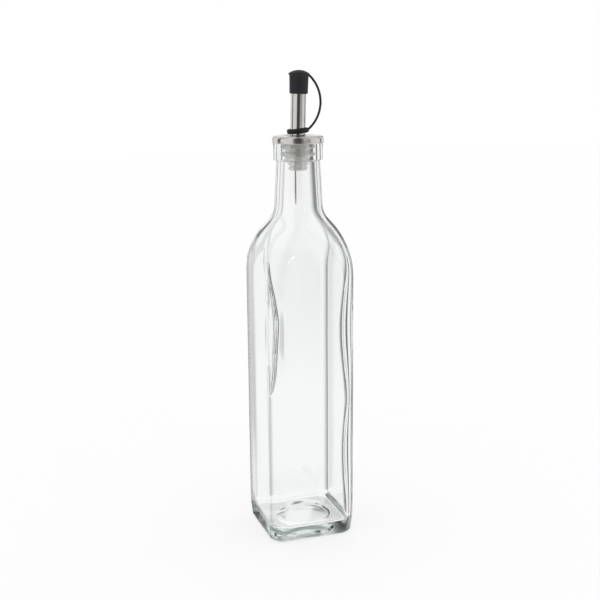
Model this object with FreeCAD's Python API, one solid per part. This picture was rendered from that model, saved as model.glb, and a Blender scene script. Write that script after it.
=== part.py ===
"""Square glass oil bottle with a steel pourer and a tethered rubber cap.

Millimetres, +Z up, origin at the middle of the base. The flat faces of the glass are square to
X and Y. The pourer is drawn with its strap towards +X and then turned on the bottle.
"""
import FreeCAD
import Part

import math
import os

# --- Glass, outside ---------------------------------------------------------------------------
side = 58.5                  # across two opposite faces
corner_radius = 8.9          # upright corners of the body
face_angle = 1.0             # degrees that a face has turned where its slight bow meets a corner
glass_height = 256.4         # base to lip
heel_radius = 2.7            # rounding between the faces and the base
heel_draw = 1.2              # how far each face draws in towards the heel
heel_draw_height = 20.0      # height over which it draws in
shoulder_height = 35.8       # end of the upright faces to the foot of the neck
shoulder_fullness = 26.0     # how far the shoulder runs on upward before it turns in
shoulder_sweep = 11.3        # how gently it runs up into the neck
corner_fade = 9.0            # how far below the shoulder the corners begin to open out
neck_length = 29.2           # foot of the neck to the collar
neck_top_radius = 13.8       # under the collar
neck_flare = 1.6             # how much wider the neck is at its foot
collar_step = 1.8            # how far the collar stands out
collar_height = 11.2
collar_edge = 1.0            # rounding of the collar's lower edge
lip_edge = 0.8               # rounding of the lip

# --- Glass, inside ----------------------------------------------------------------------------
face_wall = 3.0
neck_wall = 2.5
floor_thickness = 8.5        # base to the inner floor, beside the wall
floor_fillet = 5.0           # inner floor into the walls
settle_height = 92.0         # ring where the glass settled in the mould: corners are thinnest
upper_fill = 3.6             # extra rounding of the inner corners above the ring
lower_fill = 2.4             # the same below it
inner_corner_room = 2.0      # least radius left in the inner corners
punt_margin = 9.25           # faces in to the dished circle under the base
punt_depth = 3.2
dome_rise = 2.2              # the inner floor rises over the dish

# --- Stopper ----------------------------------------------------------------------------------
flange_thickness = 3.5       # lies on the lip, under the steel disc
flange_inset = 0.1           # flange inside the collar's outline
fin_clearance = 0.15         # full fins to the glass bore
fin_thickness = 1.0          # at the edge
fin_pitch = 3.9
full_fins = 2
fin_start = 2.6              # lip down to the edge of the first fin
fin_droop = 0.28             # fall of a fin's top towards its root, for each mm inwards
fin_root_share = 1.8         # thickness at the root over that at the edge
fin_bury = 0.5               # how far a fin runs into the core
core_wall = 2.6              # plastic around the spout tube
core_floor = 1.5             # plastic under the spout tube
core_taper = 1.5             # height of the cone from core to nose
nose_bore_radius = 2.2
nose_wall = 3.1
ring_step = 1.3              # how far the upper of the small rings stands out from the nose
ring_shrink = 0.5            # the ring below it is smaller by this
ring_thickness = 0.8
nose_ring_start = 1.6        # end of the nose up to the first small ring
nose_ring_pitch = 3.0
nose_rings = 2
stopper_depth = 17.4         # lip down to the end of the nose

# --- Steel disc, spout and breather -----------------------------------------------------------
disc_clearance = 0.1         # skirt to the collar
disc_sheet = 0.45
disc_edge = 1.9              # outer rounding of the rim
skirt_overlap = 0.5          # how far the skirt hangs past the lip
hem_radius = 0.32            # folded hem at the foot of the skirt
tube_radius = 4.8
tube_wall = 0.5
tube_rise = 35.5             # tube above the disc
tube_drop = 12.8             # tube below the disc's top
breather_radius = 0.5
breather_wall = 0.2
breather_drop = 21.5         # below the end of the nose
breather_grip = 6.0          # inside the nose
spout_lean = 1.6             # degrees, towards the strap
pourer_turn = -18.0          # degrees about the bottle's axis, from +X

# --- Rubber cap, strap and ring ---------------------------------------------------------------
cap_grip = 9.9               # how far the cap slides down the tube
cap_height = 14.6            # mouth to crown
cap_mouth_wall = 0.95
cap_waist_wall = 1.2         # just under the brim
cap_brim_wall = 1.8
cap_brim_height = 2.5        # brim up to the crown
cap_brim_edge = 0.35         # upright edge of the brim
cap_mouth_edge = 0.8
cap_flare_height = 1.2       # height over which the waist flares into the brim
cap_flare_start = 0.15       # how far it has flared where the flare is half up
band_width = 2.1             # band around the tube
band_height = 3.0
band_edge = 0.9
band_rise = 2.9              # disc up to the middle of the band
band_tilt = 6.5              # degrees, strap side up
strap_radius = 0.72
strap_bow = 8.95             # tube to the outermost middle of the strap
strap_bury = 0.9             # how far out of the tube the strap's middle starts
strap_drop = 0.1             # under the brim
strap_lift = 0.4             # over the middle of the band

# --- Drawing ----------------------------------------------------------------------------------
even_turn = 22.5             # degrees, where eight equal arcs make a circle
overcut = 1.0                # how far a cut runs on past the face that it opens

# --- Sizes that follow from those -------------------------------------------------------------
half_side = side / 2
punt_radius = half_side - punt_margin
neck_root_radius = neck_top_radius + neck_flare
collar_radius = neck_top_radius + collar_step
collar_foot = glass_height - collar_height
neck_root = collar_foot - neck_length
shoulder_foot = neck_root - shoulder_height
fade_foot = shoulder_foot - corner_fade
bore_radius = neck_top_radius - neck_wall
core_radius = tube_radius + core_wall
nose_radius = nose_bore_radius + nose_wall
cap_mouth_radius = tube_radius + cap_mouth_wall
cap_waist_radius = tube_radius + cap_waist_wall
cap_brim_radius = tube_radius + cap_brim_wall
strap_reach = tube_radius + strap_bow
disc_top = glass_height + flange_thickness + disc_sheet
tube_top = disc_top + tube_rise
tube_bottom = disc_top - tube_drop
nose_end = glass_height - stopper_depth
cap_mouth = tube_top - cap_grip
cap_crown = cap_mouth + cap_height
cap_brim = cap_crown - cap_brim_height
band_middle = disc_top + band_rise


def blend(value, low, high):
    """Smooth step from 0 at low to 1 at high."""
    t = min(max((value - low) / (high - low), 0.0), 1.0)
    return t * t * (3 - 2 * t)


def section(half, corner, turn, z):
    """Rounded square at height z, as four face arcs and four corner arcs that meet smoothly.

    half is the half width, corner the distance of each corner's centre from the middle planes,
    and turn the angle in degrees at which a face arc hands over to a corner arc. With corner at
    nothing all eight arcs lie on one circle.
    """
    angle = math.radians(turn)
    corner_arc = half - corner * (1 + math.tan(angle / 2))
    face_arc = corner / math.sin(angle) + corner_arc
    edges = []
    for quarter in range(4):
        facing = math.radians(90 * quarter)
        edges.append(arc(half - face_arc, 0, face_arc, -angle, angle, facing, z))
        edges.append(arc(corner, corner, corner_arc, angle, math.pi / 2 - angle, facing, z))
    return Part.Wire(edges)


def arc(centre_x, centre_y, radius, start, end, facing, z):
    """Arc about a centre, all turned about the axis by the angle facing."""
    points = []
    for angle in (start, (start + end) / 2, end):
        x = centre_x + radius * math.cos(angle)
        y = centre_y + radius * math.sin(angle)
        turned_x = x * math.cos(facing) - y * math.sin(facing)
        turned_y = x * math.sin(facing) + y * math.cos(facing)
        points.append(FreeCAD.Vector(turned_x, turned_y, z))
    return Part.Arc(*points).toShape()


def shoulder_point(t, inset=0.0):
    """Half width and height on the shoulder's curve, t from 0 at its foot to 1 at the neck.

    The curve is a cubic: upright at its foot, along the neck's slope at its top. The inset is
    measured square to it.
    """
    slope = neck_flare / neck_length
    hold = [
        (half_side, shoulder_foot),
        (half_side, shoulder_foot + shoulder_fullness),
        (neck_root_radius + slope * shoulder_sweep, neck_root - shoulder_sweep),
        (neck_root_radius, neck_root),
    ]
    weights = [(1 - t) ** 3, 3 * (1 - t) ** 2 * t, 3 * (1 - t) * t ** 2, t ** 3]
    pulls = [3 * (1 - t) ** 2, 6 * (1 - t) * t, 3 * t ** 2]
    half = sum(weight * point[0] for weight, point in zip(weights, hold))
    z = sum(weight * point[1] for weight, point in zip(weights, hold))
    run = sum(pull * (hold[i + 1][0] - hold[i][0]) for i, pull in enumerate(pulls))
    rise = sum(pull * (hold[i + 1][1] - hold[i][1]) for i, pull in enumerate(pulls))
    length = math.hypot(run, rise)
    return half - inset * rise / length, z + inset * run / length


def corner_centre(half, z, fill=0.0):
    """Distance of the corner centres, which runs out to nothing where the shoulder is round."""
    square = 1 - blend(z, fade_foot, neck_root)
    full = (half_side - corner_radius) / (1 + math.tan(math.radians(face_angle) / 2))
    return max((full - fill) * min(half / half_side, 1.0) * square, 0.0)


def turn_at(z):
    """Angle at which faces hand over to corners, up to an even eighth of a circle."""
    return face_angle + (even_turn - face_angle) * blend(z, shoulder_foot, neck_root)


def outer_section(half, z):
    return section(half, corner_centre(half, z), turn_at(z), z)


def corner_fill(z):
    """Extra rounding of the inner corners: a long swell above the settle ring, a short one below."""
    top = shoulder_foot + corner_fade / 2
    if z >= top:
        return 0.0
    if z > settle_height:
        along = (z - settle_height) / (top - settle_height)
        return upper_fill * math.sin(math.pi * along) ** 2
    along = max((settle_height - z) / (settle_height - floor_thickness), 0.0)
    return lower_fill * math.sin(math.pi * along ** 0.8) ** 2


def inner_section(half, z):
    outer_half = half + face_wall
    corner = corner_centre(outer_half, z, corner_fill(z))
    room = (half - inner_corner_room) / (1 + math.tan(math.radians(turn_at(z)) / 2))
    return section(half, min(corner, room), turn_at(z), z)


def levels(low, high, count):
    """Even heights from low to high, without low itself."""
    return [low + (high - low) * step / count for step in range(1, count + 1)]


def drawn_in(z):
    """How far the faces lie in from the full side near the heel."""
    return heel_draw * max(1 - z / heel_draw_height, 0.0) ** 2


def turned(points):
    """Solid of revolution about Z from an outline of (radius, height) points.

    A pair of points is an arc from the point before it: its middle, then its end.
    """
    edges = []
    last = None
    first = None
    for point in points:
        if isinstance(point[0], tuple):
            middle = FreeCAD.Vector(point[0][0], 0, point[0][1])
            end = FreeCAD.Vector(point[1][0], 0, point[1][1])
            edges.append(Part.Arc(last, middle, end).toShape())
        else:
            end = FreeCAD.Vector(point[0], 0, point[1])
            if last is not None:
                edges.append(Part.makeLine(last, end))
        if first is None:
            first = end
        last = end
    if not last.isEqual(first, 1e-6):
        edges.append(Part.makeLine(last, first))
    face = Part.Face(Part.Wire(edges))
    return face.revolve(FreeCAD.Vector(0, 0, 0), FreeCAD.Vector(0, 0, 1), 360)


def round_corner(radius, z, size, sign_r, sign_z):
    """Arc that rounds the corner at (radius, z); the signs say which way the material lies."""
    centre_r = radius + sign_r * size
    centre_z = z + sign_z * size
    middle = (centre_r - sign_r * size * math.sqrt(0.5), centre_z - sign_z * size * math.sqrt(0.5))
    return centre_r, centre_z, middle


def glass_outside():
    outline = []
    for step in range(6):
        swing = math.radians(18 * step)
        z = heel_radius * (1 - math.cos(swing))
        outline.append(outer_section(half_side - drawn_in(z) - heel_radius * (1 - math.sin(swing)), z))
    for z in levels(heel_radius, heel_draw_height, 5) + levels(heel_draw_height, fade_foot, 12):
        outline.append(outer_section(half_side - drawn_in(z), z))
    for z in levels(fade_foot, shoulder_foot, 4):
        outline.append(outer_section(half_side, z))
    for step in range(1, 17):
        outline.append(outer_section(*shoulder_point(step / 16)))
    return Part.makeLoft(outline, True, False).fuse(neck_outside()).Solids[0]


def neck_outside():
    edge_r, edge_z, edge_middle = round_corner(collar_radius, collar_foot, collar_edge, -1, 1)
    lip_r, lip_z, lip_middle = round_corner(collar_radius, glass_height, lip_edge, -1, -1)
    return turned([
        (0, neck_root),
        (neck_root_radius, neck_root),
        (neck_top_radius, collar_foot),
        (edge_r, collar_foot),
        (edge_middle, (collar_radius, edge_z)),
        (collar_radius, lip_z),
        (lip_middle, (lip_r, glass_height)),
        (0, glass_height),
    ])


def glass_inside():
    half = half_side - face_wall
    outline = []
    for step in range(6):
        swing = math.radians(18 * step)
        z = floor_thickness + floor_fillet * (1 - math.cos(swing))
        outline.append(inner_section(half - drawn_in(z) - floor_fillet * (1 - math.sin(swing)), z))
    for z in levels(floor_thickness + floor_fillet, shoulder_foot, 24):
        outline.append(inner_section(half - drawn_in(z), z))
    for step in range(1, 17):
        t = step / 16
        inset = face_wall + (neck_wall - face_wall) * t
        outline.append(inner_section(*shoulder_point(t, inset)))
    root_radius, root_z = shoulder_point(1, neck_wall)
    for z in levels(root_z, collar_foot, 6):
        radius = root_radius + (bore_radius - root_radius) * (z - root_z) / (collar_foot - root_z)
        outline.append(section(radius, 0, turn_at(z), z))
    for z in levels(collar_foot, glass_height + overcut, 4):
        outline.append(section(bore_radius, 0, turn_at(z), z))
    return Part.makeLoft(outline, True, False)


def dish(radius, depth, z):
    """Cap of a sphere that stands on the level z."""
    sphere_radius = (radius ** 2 + depth ** 2) / (2 * depth)
    half_angle = math.asin(radius / sphere_radius) / 2
    sag = sphere_radius * (1 - math.cos(half_angle))
    middle = (sphere_radius * math.sin(half_angle), z + depth - sag)
    return turned([(0, z), (radius, z), (middle, (0, z + depth))])


def bottle_glass():
    glass = glass_outside().cut(glass_inside())
    glass = glass.fuse(dish(punt_radius, dome_rise, floor_thickness))
    return glass.cut(dish(punt_radius, punt_depth, 0))


def lean(shape):
    """Tip a piece of the spout towards the strap, about the middle of the disc."""
    tipped = shape.copy()
    tipped.rotate(FreeCAD.Vector(0, 0, disc_top), FreeCAD.Vector(0, 1, 0), spout_lean)
    return tipped


def fin(edge_z, radius, thickness, root):
    """Thin ring that droops from its edge to its root, like an umbrella turned up."""
    droop = fin_droop * (radius - root)
    return turned([
        (root - fin_bury, edge_z - droop),
        (radius, edge_z),
        (radius, edge_z - thickness),
        (root - fin_bury, edge_z - droop - fin_root_share * thickness),
    ])


def stopper():
    flange_radius = collar_radius - flange_inset
    flange_top = glass_height + flange_thickness
    edge_r, edge_z, edge_middle = round_corner(flange_radius, flange_top, disc_edge, -1, -1)
    core_foot = tube_bottom - core_floor
    plug = turned([
        (0, flange_top),
        (0, nose_end),
        (nose_radius, nose_end),
        (nose_radius, core_foot - core_taper),
        (core_radius, core_foot),
        (core_radius, glass_height),
        (flange_radius, glass_height),
        (flange_radius, edge_z),
        (edge_middle, (edge_r, flange_top)),
    ])
    for count in range(full_fins):
        edge = glass_height - fin_start - fin_pitch * count
        plug = plug.fuse(fin(edge, bore_radius - fin_clearance, fin_thickness, core_radius))
    for count in range(nose_rings):
        edge = nose_end + nose_ring_start + nose_ring_pitch * count
        radius = nose_radius + ring_step - ring_shrink * (nose_rings - 1 - count)
        plug = plug.fuse(fin(edge, radius, ring_thickness, nose_radius))
    seat = lean(rod(tube_radius, tube_bottom, flange_top + overcut))
    bore = rod(nose_bore_radius, nose_end - overcut, tube_bottom + overcut)
    return plug.cut(seat).cut(bore).removeSplitter()


def rod(radius, low, high, x=0):
    """Upright round bar between two heights."""
    return Part.makeCylinder(radius, high - low, FreeCAD.Vector(x, 0, low))


def pourer_disc():
    inner = collar_radius + disc_clearance
    outer = inner + disc_sheet
    foot = glass_height - skirt_overlap
    under = disc_top - disc_sheet
    top_r, top_z, top_middle = round_corner(outer, disc_top, disc_edge, -1, -1)
    inner_edge = disc_edge - disc_sheet
    in_r, in_z, in_middle = round_corner(inner, under, inner_edge, -1, -1)
    shell = turned([
        (0, disc_top),
        (top_r, disc_top),
        (top_middle, (outer, top_z)),
        (outer, foot + hem_radius),
        (inner, foot + hem_radius),
        (inner, in_z),
        (in_middle, (in_r, under)),
        (0, under),
    ])
    hem = Part.makeTorus(inner + hem_radius, hem_radius, FreeCAD.Vector(0, 0, foot + hem_radius))
    hole = lean(rod(tube_radius, under - overcut, disc_top + overcut))
    return shell.fuse(hem).cut(hole)


def spout_tube():
    outside = rod(tube_radius, tube_bottom, tube_top)
    inside = rod(tube_radius - tube_wall, tube_bottom - overcut, tube_top + overcut)
    return lean(outside.cut(inside))


def breather_tube():
    """Thin tube along one side of the nose's bore, open at both ends."""
    aside = breather_radius - nose_bore_radius
    low = nose_end - breather_drop
    high = nose_end + breather_grip
    outside = rod(breather_radius, low, high, aside)
    inside = rod(breather_radius - breather_wall, low - overcut, high + overcut, aside)
    return outside.cut(inside)


def cap_body():
    mouth_r, mouth_z, mouth_middle = round_corner(cap_mouth_radius, cap_mouth, cap_mouth_edge, -1, 1)
    half_flare = (cap_waist_radius + cap_flare_start, cap_brim - 0.5 * cap_flare_height)
    lip = cap_brim + cap_brim_edge
    return turned([
        (0, lip),
        (0, cap_mouth),
        (mouth_r, cap_mouth),
        (mouth_middle, (cap_mouth_radius, mouth_z)),
        (cap_waist_radius, cap_brim - cap_flare_height),
        (half_flare, (cap_brim_radius, cap_brim)),
        (cap_brim_radius, lip),
    ]).fuse(dish(cap_brim_radius, cap_crown - lip, lip))


def strap():
    """Part of a ring, from under the cap's brim out to its reach and back to the band."""
    high = cap_brim - strap_drop
    low = band_middle + strap_lift
    half_chord = (high - low) / 2
    bulge = strap_bow - strap_bury
    radius = (half_chord ** 2 + bulge ** 2) / (2 * bulge)
    centre = FreeCAD.Vector(strap_reach - radius, 0, (high + low) / 2)
    swing = math.degrees(math.atan2(half_chord, radius - bulge))
    tip = centre + FreeCAD.Vector(radius, 0, 0)
    disc = Part.Face(Part.Wire([Part.makeCircle(strap_radius, tip, FreeCAD.Vector(0, 0, 1))]))
    disc.rotate(centre, FreeCAD.Vector(0, 1, 0), swing)
    return disc.revolve(centre, FreeCAD.Vector(0, -1, 0), 2 * swing)


def rubber_cap():
    """Cap, strap and the band round the tube, moulded in one."""
    band_foot = band_middle - band_height / 2
    band = rod(tube_radius + band_width, band_foot, band_foot + band_height)
    band = band.makeFillet(band_edge, [band.Edges[0], band.Edges[2]])
    band.rotate(FreeCAD.Vector(0, 0, band_middle), FreeCAD.Vector(0, 1, 0), -band_tilt)
    tube_room = rod(tube_radius, disc_top, tube_top)
    whole = cap_body().fuse(band).fuse(strap()).cut(tube_room)
    return lean(whole.removeSplitter())


def save(name, shape):
    solids = shape.Solids
    print(name, "solids", len(solids), "valid", shape.isValid(), "volume", round(shape.Volume / 1000, 2))
    solids[0].exportStep("parts/" + name + ".step")


def main():
    os.makedirs("parts", exist_ok=True)
    save("bottle_glass", bottle_glass())
    pourer = {
        "stopper": stopper(),
        "pourer_disc": pourer_disc(),
        "spout_tube": spout_tube(),
        "breather_tube": breather_tube(),
        "rubber_cap": rubber_cap(),
    }
    for name, shape in pourer.items():
        shape.rotate(FreeCAD.Vector(0, 0, 0), FreeCAD.Vector(0, 0, 1), pourer_turn)
        save(name, shape)


main()
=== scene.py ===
# %% [markdown]
# # Square glass oil bottle with a steel pourer
# The object is a tall moulded bottle, square below and round at the neck, closed by a pourer:
# a ribbed plastic stopper, a steel disc and spout, a thin breather tube and a rubber cap on a
# strap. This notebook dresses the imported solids: it rebuilds each piece as a smooth mesh on the
# same sizes and gives it a material made of nodes.

import math

import bpy
from mathutils import Matrix, Vector


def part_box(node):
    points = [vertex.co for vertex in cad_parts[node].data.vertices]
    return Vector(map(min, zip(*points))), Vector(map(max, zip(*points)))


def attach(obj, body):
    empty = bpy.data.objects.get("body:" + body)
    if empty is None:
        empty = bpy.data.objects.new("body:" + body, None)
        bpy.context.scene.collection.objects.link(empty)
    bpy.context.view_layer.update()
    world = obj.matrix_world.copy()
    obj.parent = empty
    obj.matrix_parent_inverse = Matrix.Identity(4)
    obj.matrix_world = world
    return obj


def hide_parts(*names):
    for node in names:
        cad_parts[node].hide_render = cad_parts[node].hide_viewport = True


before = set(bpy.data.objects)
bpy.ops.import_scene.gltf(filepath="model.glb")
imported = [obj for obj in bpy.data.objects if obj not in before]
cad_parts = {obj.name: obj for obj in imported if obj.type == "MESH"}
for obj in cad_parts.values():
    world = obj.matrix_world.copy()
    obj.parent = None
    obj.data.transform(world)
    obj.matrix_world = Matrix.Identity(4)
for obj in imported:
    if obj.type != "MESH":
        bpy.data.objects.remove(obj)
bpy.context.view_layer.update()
scene = bpy.context.scene
mm = 0.001
print("frame holds", sorted(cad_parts))

# %% [markdown]
# ## Sizes
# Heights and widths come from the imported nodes, so the dressed pieces land on the solids. Only
# what a box can't tell, such as a corner's radius or a wall, is written here as a named value.

# %% Read the main sizes from the nodes
glass_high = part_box("bottle_glass")[1]
disc_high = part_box("pourer_disc")[1]
stopper_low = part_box("stopper")[0]
breather_low, breather_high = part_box("breather_tube")

half_side = glass_high[0]
lip_height = glass_high[2]
disc_top = disc_high[2]
nose_end = stopper_low[2]
print("side", round(2 * half_side / mm, 1), "mm, lip at", round(lip_height / mm, 1), "mm")

# %% Name the glass sizes
corner_radius = 8.9 * mm
face_turn = math.radians(1.0)        # how far a face has bowed where its corner takes over
round_turn = math.radians(22.5)      # the same where the section is a circle
heel_radius = 2.7 * mm
heel_draw = 1.2 * mm
heel_draw_height = 20.0 * mm
collar_foot = lip_height - 11.2 * mm
neck_root = collar_foot - 29.2 * mm
shoulder_foot = neck_root - 35.8 * mm
fade_foot = shoulder_foot - 9.0 * mm
shoulder_fullness = 26.0 * mm
shoulder_sweep = 11.3 * mm
neck_root_radius = 15.4 * mm
neck_top_radius = 13.8 * mm
collar_radius = 15.6 * mm
collar_edge = 1.0 * mm
lip_edge = 0.8 * mm
face_wall = 3.0 * mm
neck_wall = 2.5 * mm
bore_radius = neck_top_radius - neck_wall
floor_thickness = 8.5 * mm
floor_fillet = 3.6 * mm
settle_height = 92.0 * mm            # ring where the corners are thinnest
fill_rise = 6.0 * mm                 # how far above the shoulder's foot the upper swell ends
fill_fade = 30.0 * mm                # height over which the even thickness dies out in the shoulder
upper_fill = 4.2 * mm                # swell of the inner corners above the ring
lower_fill = 2.4 * mm                # the same below it
back_fill = 1.15 * mm                # even thickness of the back corners
left_fill = 2.4 * mm                 # least swell of the left front corner
room_beside_corner = 2.0 * mm
punt_radius = 20.0 * mm
punt_depth = 3.2 * mm
dome_rise = 2.2 * mm

# %% [markdown]
# ## Node maths
# Both shader trees and geometry trees count with the same Math node. A small class wraps an
# output socket, so that a formula is written as Python and each operator adds its node. Plain
# numbers stay numbers until they meet a socket.

# %% Build node trees from expressions
class Link:
    """One output socket of a tree, with the operators this file uses."""

    def __init__(self, graph, socket):
        self.graph = graph
        self.socket = socket

    def math(self, operation, *others):
        return self.graph.node("ShaderNodeMath", {"operation": operation}, *others)

    def __add__(self, other):
        return self.math("ADD", self, other)

    def __radd__(self, other):
        return self.math("ADD", other, self)

    def __sub__(self, other):
        return self.math("SUBTRACT", self, other)

    def __rsub__(self, other):
        return self.math("SUBTRACT", other, self)

    def __mul__(self, other):
        return self.math("MULTIPLY", self, other)

    def __rmul__(self, other):
        return self.math("MULTIPLY", other, self)

    def __truediv__(self, other):
        return self.math("DIVIDE", self, other)

    def __rtruediv__(self, other):
        return self.math("DIVIDE", other, self)

    def __pow__(self, other):
        return self.math("POWER", self, other)

    def __rpow__(self, other):
        return self.math("POWER", other, self)

    def __neg__(self):
        return self.math("MULTIPLY", self, -1.0)

    def __abs__(self):
        return self.math("ABSOLUTE", self)

    def floor(self):
        return self.math("FLOOR", self)

    def cosine(self):
        return self.math("COSINE", self)

    def sine(self):
        return self.math("SINE", self)

    def tangent(self):
        return self.math("TANGENT", self)

    def high(self, other):
        return self.math("MAXIMUM", self, other)

    def low(self, other):
        return self.math("MINIMUM", self, other)


class Graph:
    """A node tree with one method that adds any node."""

    def __init__(self, tree):
        self.tree = tree

    def node(self, kind, settings=None, *values, output=0, **named):
        """Add a node: settings first, then socket values or links by order or by name."""
        node = self.tree.nodes.new(kind)
        for name, value in (settings or {}).items():
            if name == "stops":
                self.set_stops(node.color_ramp, value)
            else:
                setattr(node, name, value)
        for index, value in enumerate(values):
            self.fill(node.inputs[index], value)
        for name, value in named.items():
            self.fill(node.inputs[name.replace("_", " ")], value)
        outputs = [socket for socket in node.outputs if socket.enabled]
        if isinstance(output, str):
            return Link(self, node.outputs[output])
        return Link(self, outputs[output]) if outputs else node

    def fill(self, socket, value):
        if value is None:
            return
        if isinstance(value, Link):
            self.tree.links.new(value.socket, socket)
        else:
            socket.default_value = value

    def mix(self, share, first, second):
        """Blend two colours, or two links that carry colours."""
        return self.node("ShaderNodeMix", {"data_type": "RGBA"}, share, *[None] * 5, first, second)

    def set_stops(self, ramp, stops):
        while len(ramp.elements) < len(stops):
            ramp.elements.new(1.0)
        for element, (position, colour) in zip(ramp.elements, stops):
            element.position = position
            element.color = (*colour, 1.0)


# %% [markdown]
# ## The section rule
# Every level of the glass is a rounded square: four nearly flat face arcs and four corner arcs
# that share their tangents. Seen by the direction its surface faces, such a section is one short
# formula, `corner * (G(t), G(t - 90)) + radius * (cos t, sin t)`, where G runs from -1 to 1
# across a face. A circle is the case with no corner. So one Geometry Nodes tree can sweep the
# whole bottle, and every turned piece besides, from a list of levels.
#
# The tree takes a strip of points, one for each level, that carry the level's numbers as
# attributes: half width, corner distance, turn, height, a step aside, and how much nearer the
# axis the two front corners and the left one lie. It lays out a grid, reads each row's numbers
# with Sample Index, and sets every point by the formula.

# %% Geometry tree that sweeps sections along a list of levels
level_words = ["half", "corner", "turn", "height", "shift", "near", "left"]
weld_distance = 0.001 * mm


def less_than(graph, first, second):
    return graph.node("ShaderNodeMath", {"operation": "LESS_THAN"}, first, second)


def sweep_tree():
    tree = bpy.data.node_groups.new("section_sweep", "GeometryNodeTree")
    sockets = [
        ("Levels", "INPUT", "NodeSocketGeometry"),
        ("Columns", "INPUT", "NodeSocketInt"),
        ("Face Share", "INPUT", "NodeSocketFloat"),
        ("Material", "INPUT", "NodeSocketMaterial"),
        ("Swept", "OUTPUT", "NodeSocketGeometry"),
    ]
    for name, side, kind in sockets:
        tree.interface.new_socket(name, in_out=side, socket_type=kind)
    graph = Graph(tree)
    entry = tree.nodes.new("NodeGroupInput")
    levels, columns, share, material = [Link(graph, entry.outputs[i]) for i in range(4)]

    count = graph.node("GeometryNodeAttributeDomainSize", {"component": "MESH"}, levels)
    seam = columns + 1.0
    grid = graph.node("GeometryNodeMeshGrid", None, 1.0, 1.0, count, seam)
    index = graph.node("GeometryNodeInputIndex")
    row = ((index + 0.5) / seam).floor()
    column = index - row * seam

    def level_value(name):
        named = graph.node("GeometryNodeInputNamedAttribute", {"data_type": "FLOAT"}, name)
        sampling = {"data_type": "FLOAT", "domain": "POINT"}
        return graph.node("GeometryNodeSampleIndex", sampling, levels, named, row)

    half, corner, turn, height, shift, near, left = [level_value(word) for word in level_words]

    # Each quarter gives a share of its columns to the face and the rest to the corner.
    quarters = 4.0 * column / columns
    quarter = (quarters + 0.0001).floor()
    within = quarters - quarter
    on_face = (within / share).low(1.0)
    on_corner = ((within - share) / (1.0 - share)).high(0.0)
    facing = turn * (2.0 * on_face - 1.0) + (math.pi / 2 - 2.0 * turn) * on_corner
    facing = facing + quarter * (math.pi / 2)

    # The front is where the surface faces -Y, the left where it faces -X.
    in_front = less_than(graph, facing.sine(), 0.0)
    on_left = less_than(graph, facing.cosine(), 0.0)
    corner = corner - in_front * (near + left * on_left)

    slope = turn.sine()
    rise = (turn / 2.0).tangent()
    radius = half - corner * (1.0 + rise)

    def reach(part):
        bow = (1.0 + rise - (1.0 - abs(part)) / slope).high(1.0)
        return (part / slope).low(1.0).high(-1.0) * bow

    x = corner * reach(facing.cosine()) + radius * facing.cosine() + shift
    y = corner * reach(facing.sine()) + radius * facing.sine()
    place = graph.node("ShaderNodeCombineXYZ", None, x, y, height)
    moved = graph.node("GeometryNodeSetPosition", None, grid, None, place)
    merged = graph.node("GeometryNodeMergeByDistance", None, moved, Distance=weld_distance)
    smooth = graph.node("GeometryNodeSetShadeSmooth", None, merged)
    real = graph.node("GeometryNodeRealizeInstances", None, smooth)
    painted = graph.node("GeometryNodeSetMaterial", None, real, None, material)
    leave = tree.nodes.new("NodeGroupOutput")
    tree.links.new(painted.socket, leave.inputs[0])
    return tree


sweep = sweep_tree()
print("section tree has", len(sweep.nodes), "nodes")

# %% [markdown]
# A modifier's inputs go by socket identifiers, which are looked up by name. The result is read
# back as a plain mesh, moved to its place in mesh data, and only then told which body it rides on.

# %% Run a tree and keep its result as a mesh
def run_tree(name, mesh, tree, inputs):
    source = bpy.data.objects.new(name + "_levels", mesh)
    scene.collection.objects.link(source)
    modifier = source.modifiers.new("shape", "NODES")
    modifier.node_group = tree
    for item in tree.interface.items_tree:
        if item.item_type == "SOCKET" and item.in_out == "INPUT" and item.name in inputs:
            modifier[item.identifier] = inputs[item.name]
    graph = bpy.context.evaluated_depsgraph_get()
    result = bpy.data.meshes.new_from_object(source.evaluated_get(graph), depsgraph=graph)
    source.modifiers.remove(modifier)
    bpy.data.objects.remove(source)
    piece = bpy.data.objects.new(name, result)
    scene.collection.objects.link(piece)
    return piece


def swept(name, levels, material, columns, face_share=0.5):
    """Sweep a piece from levels of numbers named by level_words; the last ones may be left out."""
    mesh = bpy.data.meshes.new(name + "_levels")
    levels = [(*level, 0.0, 0.0, 0.0)[:len(level_words)] for level in levels]
    mesh.from_pydata([(0, 0, level[3]) for level in levels], [], [])
    for slot, word in enumerate(level_words):
        layer = mesh.attributes.new(word, "FLOAT", "POINT")
        layer.data.foreach_set("value", [level[slot] for level in levels])
    inputs = {"Columns": columns, "Face Share": face_share, "Material": material}
    return run_tree(name, mesh, sweep, inputs)


def turned(name, outline, material, columns=96):
    """Sweep a round piece from an outline of (radius, height), and the step aside if it has one."""
    levels = [(point[0], 0.0, round_turn, point[1], *point[2:]) for point in outline]
    return swept(name, levels, material, columns)


def outward(piece):
    """Make the faces of a closed piece point outwards, by the sign of its volume."""
    mesh = piece.data
    volume = 0.0
    for polygon in mesh.polygons:
        corners = [mesh.vertices[i].co for i in polygon.vertices]
        for second, third in zip(corners[1:], corners[2:]):
            volume += corners[0].dot(second.cross(third)) / 6
    if volume < 0:
        mesh.flip_normals()
    return abs(volume)


def keep(piece, node):
    """Close a piece's making: faces outward, on the body, in place of its CAD node."""
    volume = outward(piece)
    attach(piece, "root")
    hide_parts(node)
    triangles = sum(len(polygon.vertices) - 2 for polygon in piece.data.polygons)
    print(piece.name, "has", triangles, "triangles and", round(volume / mm ** 3 / 1000, 2), "cm3")


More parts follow.
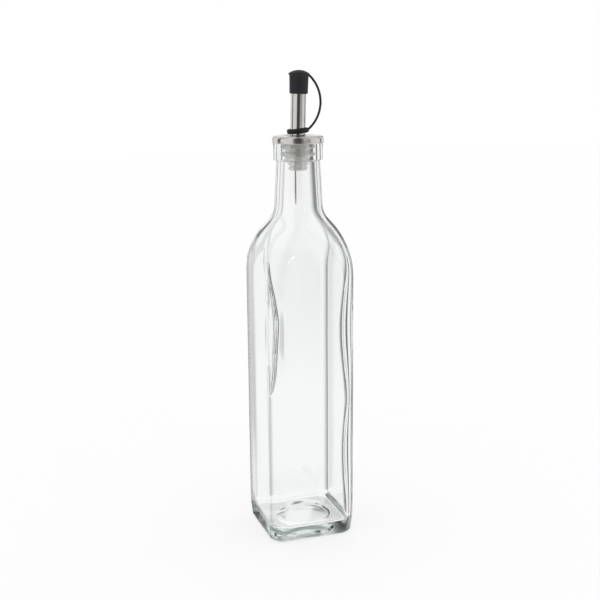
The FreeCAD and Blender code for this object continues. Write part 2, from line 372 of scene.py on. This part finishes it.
# %% [markdown]
# ## Rounded outlines
# Pressed steel, moulded rubber and glass have no knife edges, and an edge that is rounded catches
# a line of light. So an outline is written by its corners, each with its own rounding, and one
# function puts the arcs in.

# %% Outlines with rounded corners
def rounded(corners, closed=False, steps=6):
    """Points along an outline of (radius, height, rounding), with an arc at each corner."""
    points = []
    count = len(corners)
    for index, (radius, height, rounding) in enumerate(corners):
        here = Vector((radius, height))
        inner = closed or 0 < index < count - 1
        if not inner or rounding <= 0:
            points.append((radius, height))
            continue
        before = Vector(corners[index - 1][:2])
        after = Vector(corners[(index + 1) % count][:2])
        to_before = (before - here).normalized()
        to_after = (after - here).normalized()
        opening = to_before.angle(to_after)
        back = min(rounding / math.tan(opening / 2), (before - here).length, (after - here).length)
        size = back * math.tan(opening / 2)
        middle = here + (to_before + to_after).normalized() * (size / math.sin(opening / 2))
        start = here + to_before * back - middle
        sweep_angle = start.angle_signed(here + to_after * back - middle)
        for step in range(steps + 1):
            arm = start.copy()
            arm.rotate(Matrix.Rotation(-sweep_angle * step / steps, 2))
            points.append(tuple(middle + arm))
    if closed:
        points.append(points[0])
    return points


def between(low, high, count):
    """Even values from low to high, without low itself."""
    return [low + (high - low) * step / count for step in range(1, count + 1)]


# %% [markdown]
# ## The bottle's levels
# The list of levels runs in one line from the middle of the dish under the base, out and up the
# outside, over the lip and down the inside to the middle of the floor, so the sweep closes into
# one solid of glass with a true wall. The wall is what makes moulded glass look real: its inner
# corners swell between the rings where the hot glass settled in the mould, and that bends light
# into dark upright lines. Hot glass seldom settles evenly: here the front corners swell more
# than the back ones, and the left front one stays thick over its whole height.

# %% Rules for the outside and the inside of the glass
def blend(value, low, high):
    part = min(max((value - low) / (high - low), 0.0), 1.0)
    return part * part * (3 - 2 * part)


def turn_at(z):
    return face_turn + (round_turn - face_turn) * blend(z, shoulder_foot, neck_root)


def corner_centre(half, z, fill=0.0):
    square = 1 - blend(z, fade_foot, neck_root)
    full = (half_side - corner_radius) / (1 + math.tan(face_turn / 2))
    return max((full - fill) * min(half / half_side, 1.0) * square, 0.0)


def drawn_in(z):
    return heel_draw * max(1 - z / heel_draw_height, 0.0) ** 2


def corner_fill(z):
    top = shoulder_foot + fill_rise
    if z >= top:
        return 0.0
    if z > settle_height:
        along = (z - settle_height) / (top - settle_height)
        return upper_fill * math.sin(math.pi * along) ** 2
    along = max((settle_height - z) / (settle_height - floor_thickness), 0.0)
    return lower_fill * math.sin(math.pi * along ** 0.8) ** 2


def shoulder_point(t, inset=0.0):
    """Half width and height on the shoulder's cubic, moved in square to it by the inset."""
    slope = (neck_root_radius - neck_top_radius) / (collar_foot - neck_root)
    hold = [
        Vector((half_side, shoulder_foot)),
        Vector((half_side, shoulder_foot + shoulder_fullness)),
        Vector((neck_root_radius + slope * shoulder_sweep, neck_root - shoulder_sweep)),
        Vector((neck_root_radius, neck_root)),
    ]
    s = 1 - t
    point = s ** 3 * hold[0] + 3 * s * s * t * hold[1] + 3 * s * t * t * hold[2] + t ** 3 * hold[3]
    along = s * s * (hold[1] - hold[0]) + 2 * s * t * (hold[2] - hold[1]) + t * t * (hold[3] - hold[2])
    along.normalize()
    return point.x - inset * along.y, point.y + inset * along.x


def outer_level(half, z):
    return (half, corner_centre(half, z), turn_at(z), z, 0.0, 0.0, 0.0)


def inner_level(half, z):
    """The corners at the front settled thicker than those at the back, the left one most evenly."""
    fade = 1 - blend(z, shoulder_foot, shoulder_foot + fill_fade)
    corner = corner_centre(half + face_wall, z, back_fill * fade)
    room = (half - room_beside_corner) / (1 + math.tan(turn_at(z) / 2))
    corner = min(corner, room)
    near = corner_fill(z) - back_fill * fade
    left = max(left_fill - corner_fill(z), 0.0) * fade
    near = max(near, corner - room)
    return (half, corner, turn_at(z), z, 0.0, near, left)


def round_level(radius, z):
    return (radius, 0.0, round_turn, z, 0.0, 0.0, 0.0)


def morph(first, last, count):
    """Levels between two others, which carries a circle over into a rounded square."""
    return [
        tuple(a + (b - a) * part for a, b in zip(first, last))
        for part in between(0.0, 1.0, count)
    ]


def dish_levels(radius, depth, z, count):
    """A shallow dome from its middle out to its edge."""
    sphere = (radius ** 2 + depth ** 2) / (2 * depth)
    widest = math.asin(radius / sphere)
    levels = []
    for swing in [0.0] + between(0.0, widest, count):
        levels.append(round_level(sphere * math.sin(swing), z + depth - sphere * (1 - math.cos(swing))))
    return levels


def glass_outside():
    levels = dish_levels(punt_radius, punt_depth, 0.0, 14)
    heel = []
    for swing in [0.0] + between(0.0, math.pi / 2, 10):
        z = heel_radius * (1 - math.cos(swing))
        heel.append(outer_level(half_side - drawn_in(z) - heel_radius * (1 - math.sin(swing)), z))
    levels += morph(levels[-1], heel[0], 8)[:-1] + heel
    for z in between(heel_radius, heel_draw_height, 8) + between(heel_draw_height, fade_foot, 40):
        levels.append(outer_level(half_side - drawn_in(z), z))
    for z in between(fade_foot, shoulder_foot, 6):
        levels.append(outer_level(half_side, z))
    for t in between(0.0, 1.0, 36):
        levels.append(outer_level(*shoulder_point(t)))
    neck = rounded([
        (neck_root_radius, neck_root, 0),
        (neck_top_radius, collar_foot, 0.5 * mm),
        (collar_radius, collar_foot, collar_edge),
        (collar_radius, lip_height, lip_edge),
        (bore_radius, lip_height, 0.6 * mm),
        (bore_radius, collar_foot, 0),
    ])
    for z in between(neck_root, collar_foot - 2 * mm, 12):
        part = (z - neck_root) / (collar_foot - neck_root)
        levels.append(round_level(neck_root_radius + (neck_top_radius - neck_root_radius) * part, z))
    return levels + [round_level(radius, z) for radius, z in neck[1:-1]]


def glass_inside():
    """Levels from the middle of the floor up to the foot of the collar."""
    half = half_side - face_wall
    levels = dish_levels(punt_radius, dome_rise, floor_thickness, 14)
    fillet = []
    for swing in [0.0] + between(0.0, math.pi / 2, 10):
        z = floor_thickness + floor_fillet * (1 - math.cos(swing))
        fillet.append(inner_level(half - drawn_in(z) - floor_fillet * (1 - math.sin(swing)), z))
    levels += morph(levels[-1], fillet[0], 5)[:-1] + fillet
    for z in between(floor_thickness + floor_fillet, shoulder_foot, 60):
        levels.append(inner_level(half - drawn_in(z), z))
    for t in between(0.0, 1.0, 36):
        levels.append(inner_level(*shoulder_point(t, face_wall + (neck_wall - face_wall) * t)))
    root_radius, root_z = levels[-1][0], levels[-1][3]
    for z in between(root_z, collar_foot, 12):
        part = (z - root_z) / (collar_foot - root_z)
        levels.append(round_level(root_radius + (bore_radius - root_radius) * part, z))
    return levels


glass_levels = glass_outside() + glass_inside()[::-1]
print("the bottle has", len(glass_levels), "levels")

# %% [markdown]
# ## Sizes of the pourer
# The stopper is moulded in soft milky plastic: a flange that lies on the lip, two wide fins that
# seal in the bore, and a nose with two small rings. A pressed steel disc covers the flange and
# folds over the lip, and the steel tube stands through both. The tube leans a little towards its
# strap, as such push-in spouts do.

# %% Name the pourer's sizes
disc_sheet = 0.45 * mm
disc_edge = 1.9 * mm
disc_clearance = 0.1 * mm
skirt_overlap = 0.5 * mm
hem_bulge = 0.16 * mm
flange_top = disc_top - disc_sheet
flange_radius = collar_radius - 0.1 * mm
tube_radius = 4.8 * mm
tube_wall = 0.5 * mm
tube_top = disc_top + 35.5 * mm
tube_bottom = disc_top - 12.8 * mm
fin_radius = bore_radius - 0.15 * mm
fin_start = 2.6 * mm
fin_pitch = 3.9 * mm
fin_thickness = 1.0 * mm
fin_droop = 0.28
core_radius = tube_radius + 2.6 * mm
core_foot = tube_bottom - 1.5 * mm
nose_bore_radius = 2.2 * mm
nose_radius = nose_bore_radius + 3.1 * mm
nose_ring_start = 1.6 * mm
nose_ring_pitch = 3.0 * mm
breather_radius = 0.5 * mm
breather_wall = 0.2 * mm
breather_foot = breather_low[2]
breather_head = breather_high[2]
lean_angle = math.radians(1.6)
pourer_turn = Matrix.Rotation(math.radians(-18.0), 4, "Z")

# %% Put a piece of the pourer in its place
def leaning(height):
    """How far the spout's axis stands aside at a height."""
    return (height - disc_top) * math.tan(lean_angle)


def place(piece, leans=False):
    """Turn a pourer piece on the bottle, tipped first about the middle of the disc if it leans."""
    if leans:
        up = Matrix.Translation((0, 0, disc_top))
        piece.data.transform(up @ Matrix.Rotation(lean_angle, 4, "Y") @ up.inverted())
    piece.data.transform(pourer_turn)


# %% [markdown]
# ## Stopper, disc and tubes
# Each is one closed outline turned about the spout's axis. The seat in the stopper is a touch
# tighter than the tube, as a push fit is, so no film of air shows between plastic and steel.

# %% Stopper
def fin_corners(edge, radius, root, thickness, softness):
    """Four corners of a fin that rises to its edge, written from its top down."""
    droop = fin_droop * (radius - root)
    return [
        (root, edge - droop, softness),
        (radius, edge, 0.4 * thickness),
        (radius, edge - thickness, 0.4 * thickness),
        (root, edge - droop - 1.8 * thickness, softness),
    ]


def stopper_outline():
    seat = tube_radius - 0.2 * mm
    corners = [
        (seat, flange_top, 0),
        (flange_radius, flange_top, disc_edge),
        (flange_radius, lip_height, 0.3 * mm),
        (core_radius, lip_height, 0.3 * mm),
    ]
    for count in range(2):
        edge = lip_height - fin_start - fin_pitch * count
        corners += fin_corners(edge, fin_radius, core_radius, fin_thickness, 0.3 * mm)
    corners += [(core_radius, core_foot, 0.3 * mm), (nose_radius, core_foot - 1.5 * mm, 0.2 * mm)]
    for count in (1, 0):
        edge = nose_end + nose_ring_start + nose_ring_pitch * count
        radius = nose_radius + (0.8 + 0.5 * count) * mm
        corners += fin_corners(edge, radius, nose_radius, 0.8 * mm, 0.1 * mm)
    corners += [
        (nose_radius, nose_end, 0.6 * mm),
        (nose_bore_radius, nose_end, 0.3 * mm),
        (nose_bore_radius, tube_bottom, 0.1 * mm),
        (seat, tube_bottom, 0),
    ]
    outline = rounded(corners, closed=True)
    return [(radius, z, leaning(z) if radius == seat else 0.0) for radius, z in outline]


# %% Disc, spout tube and breather
def disc_outline():
    inner = collar_radius + disc_clearance
    outer = inner + disc_sheet
    foot = lip_height - skirt_overlap
    hole = tube_radius - 0.1 * mm
    return rounded([
        (hole, disc_top, 0),
        (outer, disc_top, disc_edge),
        (outer, foot + 0.75 * mm, 0.2 * mm),
        (outer + hem_bulge, foot + 0.5 * mm, 0.2 * mm),
        (outer + hem_bulge, foot, 0.25 * mm),
        (inner, foot, 0.25 * mm),
        (inner, flange_top, disc_edge - disc_sheet),
        (hole, flange_top, 0),
    ], closed=True, steps=8)


def tube_outline(radius, wall, low, high, edge):
    """A tube's wall as a closed outline with softly rounded ends."""
    return rounded([
        (radius, low, edge),
        (radius - wall, low, edge),
        (radius - wall, high, edge),
        (radius, high, edge),
    ], closed=True, steps=4)


# %% [markdown]
# ## Cap, strap and band
# One soft black moulding: a cap that slides down the tube, a round cord of rubber that bows out
# from under its brim, and a band that keeps it on the spout. The strap is an arc, so its tree is
# an arc curve given a round profile.

# %% Name the cap's sizes
cap_mouth = tube_top - 9.9 * mm
cap_crown = cap_mouth + 14.59 * mm
cap_brim = cap_crown - 2.49 * mm
cap_mouth_radius = tube_radius + 0.95 * mm
cap_waist_radius = tube_radius + 1.2 * mm
cap_brim_radius = tube_radius + 1.8 * mm
band_middle = disc_top + 2.9 * mm
band_height = 3.0 * mm
band_width = 2.1 * mm
band_tilt = math.radians(6.5)
strap_radius = 0.72 * mm
strap_bow = 8.95 * mm
strap_bury = 0.9 * mm

# %% Geometry tree that gives an arc a round profile
def strap_tree():
    tree = bpy.data.node_groups.new("strap_arc", "GeometryNodeTree")
    sockets = [
        ("Source", "INPUT", "NodeSocketGeometry"),
        ("Centre", "INPUT", "NodeSocketVector"),
        ("Arc Radius", "INPUT", "NodeSocketFloat"),
        ("Swing", "INPUT", "NodeSocketFloat"),
        ("Strap Radius", "INPUT", "NodeSocketFloat"),
        ("Material", "INPUT", "NodeSocketMaterial"),
        ("Strap", "OUTPUT", "NodeSocketGeometry"),
    ]
    for name, side, kind in sockets:
        tree.interface.new_socket(name, in_out=side, socket_type=kind)
    graph = Graph(tree)
    entry = tree.nodes.new("NodeGroupInput")
    centre, arc_radius, swing, radius, material = [Link(graph, entry.outputs[i]) for i in range(1, 6)]
    arc = graph.node(
        "GeometryNodeCurveArc", {"mode": "RADIUS"}, 48,
        Radius=arc_radius, Start_Angle=-swing, Sweep_Angle=2.0 * swing,
    )
    upright = graph.node(
        "GeometryNodeTransform", None, arc,
        Translation=centre, Rotation=(math.pi / 2, 0.0, 0.0),
    )
    along = graph.node("GeometryNodeSplineParameter", output="Factor")
    from_middle = abs(2.0 * along - 1.0)
    swell = 1.0 + 0.55 * from_middle ** 10.0
    thick = graph.node("GeometryNodeSetCurveRadius", None, upright, Radius=swell)
    profile = graph.node("GeometryNodeCurvePrimitiveCircle", {"mode": "RADIUS"}, 20, Radius=radius)
    tube = graph.node("GeometryNodeCurveToMesh", None, thick, profile)
    tube.socket.node.inputs["Fill Caps"].default_value = True
    smooth = graph.node("GeometryNodeSetShadeSmooth", None, tube)
    real = graph.node("GeometryNodeRealizeInstances", None, smooth)
    painted = graph.node("GeometryNodeSetMaterial", None, real, None, material)
    leave = tree.nodes.new("NodeGroupOutput")
    tree.links.new(painted.socket, leave.inputs[0])
    return tree


strap_arc = strap_tree()
print("strap tree has", len(strap_arc.nodes), "nodes")


# %% Cap, band and strap
def cap_outline():
    lip = cap_brim + 0.35 * mm
    dome = cap_crown - lip
    sphere = (cap_brim_radius ** 2 + dome ** 2) / (2 * dome)
    widest = math.asin(cap_brim_radius / sphere)
    outline = [
        (sphere * math.sin(swing), cap_crown - sphere * (1 - math.cos(swing)))
        for swing in [0.0] + between(0.0, widest, 16)
    ]
    grip = tube_radius - 0.05 * mm
    under = rounded([
        (cap_brim_radius, lip + 0.5 * mm, 0),
        (cap_brim_radius, cap_brim, 0.3 * mm),
        (cap_waist_radius, cap_brim - 1.2 * mm, 0.6 * mm),
        (cap_mouth_radius, cap_mouth, 0.8 * mm),
        (grip, cap_mouth, 0.2 * mm),
        (grip, tube_top, 0),
        (0.0, tube_top, 0),
    ])
    return outline + under[1:]


def band_outline():
    low = band_middle - band_height / 2
    return tube_outline(tube_radius + band_width, band_width + 0.05 * mm, low, low + band_height, 0.9 * mm)


def strap_piece(material):
    high = cap_brim - 0.1 * mm
    low = band_middle + 0.4 * mm
    half_chord = (high - low) / 2
    bulge = strap_bow - strap_bury
    radius = (half_chord ** 2 + bulge ** 2) / (2 * bulge)
    inputs = {
        "Centre": (tube_radius + strap_bow - radius, 0.0, (high + low) / 2),
        "Arc Radius": radius,
        "Swing": math.atan2(half_chord, radius - bulge),
        "Strap Radius": strap_radius,
        "Material": material,
    }
    return run_tree("strap", bpy.data.meshes.new("strap_start"), strap_arc, inputs)


def joined(name, pieces):
    """One mesh object out of several."""
    with bpy.context.temp_override(
        active_object=pieces[0], selected_editable_objects=pieces, object=pieces[0],
    ):
        bpy.ops.object.join()
    pieces[0].name = name
    return pieces[0]


# %% [markdown]
# ## Materials
# Every material starts from the same two helpers: one opens an empty node tree, the other closes
# it with a Principled shader. Patterns read Object coordinates, which are metres on the bottle,
# so a scale of 1000 gives detail a millimetre wide.

# %% Material helpers
def open_material(name):
    material = bpy.data.materials.new(name)
    material.use_nodes = True
    material.node_tree.nodes.clear()
    graph = Graph(material.node_tree)
    where = graph.node("ShaderNodeTexCoord", output="Object")
    return material, graph, where


def close_material(material, graph, shader, volume=None):
    leave = graph.tree.nodes.new("ShaderNodeOutputMaterial")
    graph.fill(leave.inputs["Surface"], shader)
    graph.fill(leave.inputs["Volume"], volume)
    return material


def noise(graph, where, scale, detail=2.0, roughness=0.5, stretch=None):
    """Noise at a scale, drawn out along an axis by a stretch of the coordinates."""
    if stretch:
        where = graph.node("ShaderNodeVectorMath", {"operation": "MULTIPLY"}, where, stretch)
    return graph.node(
        "ShaderNodeTexNoise", None,
        Vector=where, Scale=scale, Detail=detail, Roughness=roughness, output="Fac",
    )


def bump(graph, height, distance, strength=1.0, normal=None):
    return graph.node(
        "ShaderNodeBump", None,
        Strength=strength, Distance=distance, Height=height, Normal=normal,
    )


def ramp(graph, value, stops, interpolation="EASE"):
    node = graph.node("ShaderNodeValToRGB", {"stops": stops}, value)
    node.socket.node.color_ramp.interpolation = interpolation
    return node


# %% [markdown]
# Inside the left front corner of the bottle runs a fold, a low bowed ridge, likely where two flows
# of glass met. It is about half a millimetre wide and shows as a dark line, so it is relief, not
# shape. A colour ramp holds its course up the corner, and masks keep it on the inner surface.

# %% Fold inside the left front corner
fold_base, fold_span = 95.0, 100.0    # millimetres up the bottle that the ramp covers
fold_width = 0.52 * mm
fold_foot, fold_head = 98.0 * mm, 188.0 * mm
inner_reach = 27.6 * mm               # lies between the inner surface and the outer one
corner_reach = 14.0 * mm              # how far from the axis the corner region starts
fold_course = [
    # height up the bottle and how far the fold lies round the corner, in millimetres
    (99, -3.0), (102, -2.2), (110, -0.1), (118, 0.4), (131, 0.7), (144, 1.6),
    (152, 1.4), (163, -0.1), (171, -1.6), (179, -3.3), (187, -4.4),
]


def clamped(value):
    return value.high(0.0).low(1.0)


def axes(graph, where):
    return [graph.node("ShaderNodeSeparateXYZ", None, where, output=axis) for axis in "XYZ"]


def fold(graph, where):
    """Height of the fold, from 0 to 1, on the inner surface of one corner."""
    x, y, z = axes(graph, where)
    reach = 6.0                       # millimetres to either side that the ramp's values cover
    stops = [
        ((level - fold_base) / fold_span, ((aside + reach) / (2 * reach),) * 3)
        for level, aside in fold_course
    ]
    course = ramp(graph, (z - fold_base * mm) / (fold_span * mm), stops, "B_SPLINE")
    aside = (x - y) / math.sqrt(2) - (course * (2 * reach) - reach) * mm
    ridge = math.e ** (-((aside / fold_width) ** 2.0))
    inside = less_than(graph, abs(x).high(abs(y)), inner_reach)
    corner = less_than(graph, x.high(y), -corner_reach)
    fade_in = clamped((z - fold_foot) / (6.0 * mm))
    fade_out = clamped((fold_head - z) / (10.0 * mm))
    return ridge * inside * corner * fade_in * fade_out


# %% [markdown]
# Moulded glass is clear but not perfect. The walls carry a slow waviness from the mould, the
# bearing ring under the base is stippled so that it doesn't chip, and thick glass has a faint
# grey-green tint, which comes from a thin absorption in its volume.

# %% Clear glass
glass_tint = (0.68, 0.79, 0.76, 1.0)


def clear_glass():
    material, graph, where = open_material("clear_glass")
    x, y, height = axes(graph, where)
    wave = noise(graph, where, 22.0, 1.0, 0.4, (1.0, 1.0, 0.45))
    ripple = noise(graph, where, 90.0, 2.0, 0.5, (1.0, 1.0, 0.3))
    grain = noise(graph, where, 900.0, 3.0, 0.6)
    ring = clamped(((x * x + y * y) ** 0.5 - (punt_radius - 1.0 * mm)) / (1.0 * mm))
    stippled = ring * clamped(1.6 - height / (2.0 * mm))
    relief = wave * 0.16 + ripple * 0.005 + grain * stippled * 0.4 + fold(graph, where) * 0.65
    shader = graph.node(
        "ShaderNodeBsdfPrincipled", None,
        Base_Color=(1.0, 1.0, 1.0, 1.0),
        Roughness=0.0,
        IOR=1.5,
        Transmission_Weight=1.0,
        Normal=bump(graph, relief, 1.0 * mm),
    )
    tint = graph.node(
        "ShaderNodeVolumeAbsorption", None,
        Color=glass_tint, Density=14.0,
    )
    return close_material(material, graph, shader, tint)


# %% [markdown]
# The stopper's soft plastic is milky: it lets light through and scatters it. Its skin is satin,
# with slight cloudiness in the moulding. Its index and transmission were set together; the index
# is lower than a real plastic's.

# %% Milky plastic
def milky_plastic():
    material, graph, where = open_material("milky_plastic")
    cloud = noise(graph, where, 260.0, 3.0)
    skin = noise(graph, where, 2600.0, 2.0)
    colour = graph.mix(cloud, (0.975, 0.975, 0.945, 1.0), (1.0, 1.0, 0.98, 1.0))
    shader = graph.node(
        "ShaderNodeBsdfPrincipled", None,
        Base_Color=colour,
        Roughness=0.34 + 0.12 * cloud,
        IOR=1.04,
        Transmission_Weight=0.60,
        Normal=bump(graph, skin, 0.02 * mm),
    )
    return close_material(material, graph, shader)


# %% [markdown]
# The disc is pressed from sheet steel and tumbled to a satin: a fine even grain without a
# direction, with a few soft scuffs that catch the light.

# %% Satin steel
def satin_steel():
    material, graph, where = open_material("satin_steel")
    grain = noise(graph, where, 3200.0, 2.0, 0.6)
    scuff = noise(graph, where, 240.0, 4.0, 0.65)
    colour = graph.mix(scuff, (0.60, 0.585, 0.565, 1.0), (0.74, 0.73, 0.71, 1.0))
    shader = graph.node(
        "ShaderNodeBsdfPrincipled", None,
        Base_Color=colour,
        Metallic=1.0,
        Roughness=0.11 + 0.10 * scuff,
        Normal=bump(graph, grain + 0.6 * scuff, 0.02 * mm),
    )
    return close_material(material, graph, shader)


# %% [markdown]
# The spout is drawn tube, polished but not plated. Drawing leaves faint lines along it, and
# handling leaves a slight haze.

# %% Polished steel
def polished_steel(name, dark, bright):
    material, graph, where = open_material(name)
    lines = noise(graph, where, 1500.0, 2.0, 0.6, (1.0, 1.0, 0.03))
    haze = noise(graph, where, 180.0, 3.0)
    colour = graph.mix(haze, (*dark, 1.0), (*bright, 1.0))
    shader = graph.node(
        "ShaderNodeBsdfPrincipled", None,
        Base_Color=colour,
        Metallic=1.0,
        Roughness=0.04 + 0.05 * haze,
        Normal=bump(graph, lines, 0.006 * mm),
    )
    return close_material(material, graph, shader)


# %% [markdown]
# The cap is matt black rubber. A new one is even, but its skin has a fine tooth from the mould
# and goes greyer where fingers and dust rub it.

# %% Black rubber
def black_rubber():
    material, graph, where = open_material("black_rubber")
    dust = noise(graph, where, 300.0, 4.0, 0.6)
    tooth = noise(graph, where, 3600.0, 2.0, 0.6)
    colour = graph.mix(dust, (0.006, 0.006, 0.008, 1.0), (0.016, 0.016, 0.019, 1.0))
    shader = graph.node(
        "ShaderNodeBsdfPrincipled", None,
        Base_Color=colour,
        Roughness=0.42 + 0.2 * dust,
        IOR=1.36,
        Normal=bump(graph, tooth + 0.5 * dust, 0.03 * mm),
    )
    return close_material(material, graph, shader)


# %% [markdown]
# ## Make the pieces
# Each piece is swept, placed on the bottle, and put in place of its CAD node.

# %% Glass
glass = swept("clear_bottle", glass_levels, clear_glass(), 224, 0.25)
keep(glass, "bottle_glass")

# %% Stopper and disc
stopper = turned("ribbed_stopper", stopper_outline(), milky_plastic())
place(stopper)
keep(stopper, "stopper")

disc = turned("steel_disc", disc_outline(), satin_steel())
place(disc)
keep(disc, "pourer_disc")

# %% Spout and breather
tube_steel = polished_steel("polished_steel", (0.62, 0.60, 0.57), (0.74, 0.72, 0.69))
spout = tube_outline(tube_radius, tube_wall, tube_bottom, tube_top, 0.15 * mm)
tube = turned("steel_spout", spout, tube_steel)
place(tube, leans=True)
keep(tube, "spout_tube")

thin_steel = polished_steel("breather_steel", (0.40, 0.385, 0.365), (0.52, 0.50, 0.48))
thin = tube_outline(breather_radius, breather_wall, breather_foot, breather_head, 0.05 * mm)
aside = breather_radius - nose_bore_radius
breather = turned("breather", [(radius, z, aside) for radius, z in thin], thin_steel, 24)
place(breather)
keep(breather, "breather_tube")

# %% Rubber cap with its strap and band
rubber = black_rubber()
cap = turned("rubber_cap_body", cap_outline(), rubber, 96)
band = turned("band", band_outline(), rubber, 96)
middle = Matrix.Translation((0, 0, band_middle))
band.data.transform(middle @ Matrix.Rotation(-band_tilt, 4, "Y") @ middle.inverted())
strap = strap_piece(rubber)
for part in (cap, band, strap):
    outward(part)
tethered_cap = joined("tethered_cap", [cap, band, strap])
place(tethered_cap, leans=True)
keep(tethered_cap, "rubber_cap")

# %% [markdown]
# ## Studio
# Clear glass shows only what stands around it. It is put on a white table before a white wall,
# with black cards just outside the view: the glass bends them in as the dark lines that draw its
# corners. The cards here are dark sectors of the surroundings that only glass and gloss can see.
# To the camera and to matt things all around is even white, so colours render as written and the
# table keeps the bottle's soft shadow.

# %% Light by the heading of a direction
def angle_of(graph, x, y):
    """Heading of a direction in radians, from +Y towards +X."""
    return graph.node("ShaderNodeMath", {"operation": "ARCTAN2"}, x, y)


def card_light(graph, heading):
    """Brightness all round the bottle, with the black cards between the white walls."""
    turn = heading / (2 * math.pi) + 0.5
    cards = [
        # heading in degrees, and the brightness seen there
        (-180, 0.12), (-170, 0.05), (-142, 0.12), (-139, 0.80), (-112, 0.90),
        (-78, 0.94), (-76, 0.10), (-60, 0.10), (-58, 0.94),
        (-15, 0.94), (-14, 0.15), (-7, 0.15), (-6, 0.94),
        (5.0, 0.94), (6.0, 0.60), (8.2, 0.60), (9.2, 0.94),
        (24.5, 0.94), (30.5, 0.06), (38, 0.06), (40, 0.94),
        (67, 0.94), (69, 0.15), (79, 0.15), (81, 0.94),
        (112, 0.85), (139, 0.80), (142, 0.30), (157, 0.55), (170, 0.30), (180, 0.12),
    ]
    return ramp(graph, turn, [(at / 360 + 0.5, (level,) * 3) for at, level in cards], "LINEAR")


# %% [markdown]
# The table is matt white, a quarter lit by the sky and the rest a glow of its own colour, so that
# it stays as pale as the wall behind and still takes a soft shadow. Glass and gloss look through
# it to the surroundings below, where the cards run on.

# %% Table
table_glow = 0.75
table_reach = 3.0
table_level = -0.05 * mm


def table_material():
    material, graph, where = open_material("white_table")
    cloud = noise(graph, where, 4.0)
    colour = graph.mix(cloud, (0.97, 0.97, 0.97, 1.0), (1.0, 1.0, 1.0, 1.0))
    matt = graph.node("ShaderNodeBsdfDiffuse", None, colour)
    glow = graph.node("ShaderNodeEmission", None, (1.0, 1.0, 1.0, 1.0), 1.0)
    seen = graph.node("ShaderNodeMixShader", None, table_glow, matt, glow)
    clear = graph.node("ShaderNodeBsdfTransparent")
    through = graph.node("ShaderNodeLightPath", output="Is Transmission Ray")
    gloss = graph.node("ShaderNodeLightPath", output="Is Glossy Ray")
    shader = graph.node("ShaderNodeMixShader", None, through.high(gloss), seen, clear)
    return close_material(material, graph, shader)


table_mesh = bpy.data.meshes.new("table")
table_ring = [(-1, -1), (1, -1), (1, 1), (-1, 1)]
table_mesh.from_pydata(
    [(table_reach * x, table_reach * y, table_level) for x, y in table_ring], [], [(0, 1, 2, 3)],
)
table = bpy.data.objects.new("table", table_mesh)
table_mesh.materials.append(table_material())
scene.collection.objects.link(table)
print("table lies", -table_level / mm, "mm under the base")

# %% [markdown]
# The surroundings carry the cards, and turn white where one looks steeply down, as on a table,
# and on the camera's side a little below the horizon. One bright patch stands for the soft lamp
# behind the camera, which leaves a small highlight on the shoulder. Light runs a long way inside
# glass with thick corners, so many bounces are allowed: with few, the longest paths end black.

# %% Surroundings
white = (1.0, 1.0, 1.0, 1.0)
lamp_light = (6.0, 6.0, 6.0, 1.0)
lamp_heading, lamp_half_width, lamp_soft_side = 170.6, 2.2, 0.6    # degrees
lamp_height, lamp_half_height, lamp_soft_end = 0.16, 0.06, 0.01    # of a direction's Z
white_below, white_behind_below = 0.45, 0.2                        # where white starts, likewise

world = bpy.data.worlds.new("studio")
scene.world = world
scene.cycles.max_bounces = 32
scene.cycles.transmission_bounces = 32
scene.cycles.glossy_bounces = 16
world.use_nodes = True
world.node_tree.nodes.clear()
sky = Graph(world.node_tree)
direction = sky.node("ShaderNodeTexCoord", output="Generated")
across, depth, height = axes(sky, direction)
heading = angle_of(sky, across, depth)
around = card_light(sky, heading)
steep = clamped((-height - white_below) / 0.1)
under = clamped((-height - white_behind_below) / 0.1)
behind = clamped(depth * -3.0)
around = sky.mix(steep.high(under * behind), around, white)
bearing = heading * (180 / math.pi)
beside = clamped((lamp_half_width - abs(bearing - lamp_heading)) / lamp_soft_side)
level = clamped((lamp_half_height - abs(height - lamp_height)) / lamp_soft_end)
around = sky.mix(beside * level, around, lamp_light)
straight = sky.node("ShaderNodeLightPath", output="Is Camera Ray")
scattered = sky.node("ShaderNodeLightPath", output="Is Diffuse Ray")
seen = sky.mix(straight.high(scattered), around, white)
background = sky.node("ShaderNodeBackground", None, seen, 1.0)
leave = world.node_tree.nodes.new("ShaderNodeOutputWorld")
sky.fill(leave.inputs["Surface"], background)
print("surroundings have", len(world.node_tree.nodes), "nodes")

# %% [markdown]
# ## Camera
# It stands as high as the cap's crown, to the left of the bottle's front face, and looks slightly
# down. A long lens keeps the upright edges nearly parallel.

# %% Camera
camera = bpy.data.objects.new("camera", bpy.data.cameras.new("camera"))
scene.collection.objects.link(camera)
azimuth = math.radians(-18.5)
look_heading = azimuth - math.radians(0.05)
pitch = math.radians(12.54)
roll = math.radians(-0.45)
distance, eye_height = 0.6631, 0.3021
camera.data.sensor_width = 36.0
camera.data.lens = 62.8
stand = Vector((distance * math.sin(azimuth), -distance * math.cos(azimuth), eye_height))
aim = Matrix.Rotation(look_heading, 4, "Z") @ Matrix.Rotation(math.pi / 2 - pitch, 4, "X")
camera.matrix_world = Matrix.Translation(stand) @ aim @ Matrix.Rotation(roll, 4, "Z")
scene.camera = camera
scene.view_settings.view_transform = "Standard"
print("camera stands", round(distance, 3), "m away,", round(eye_height, 3), "m up")
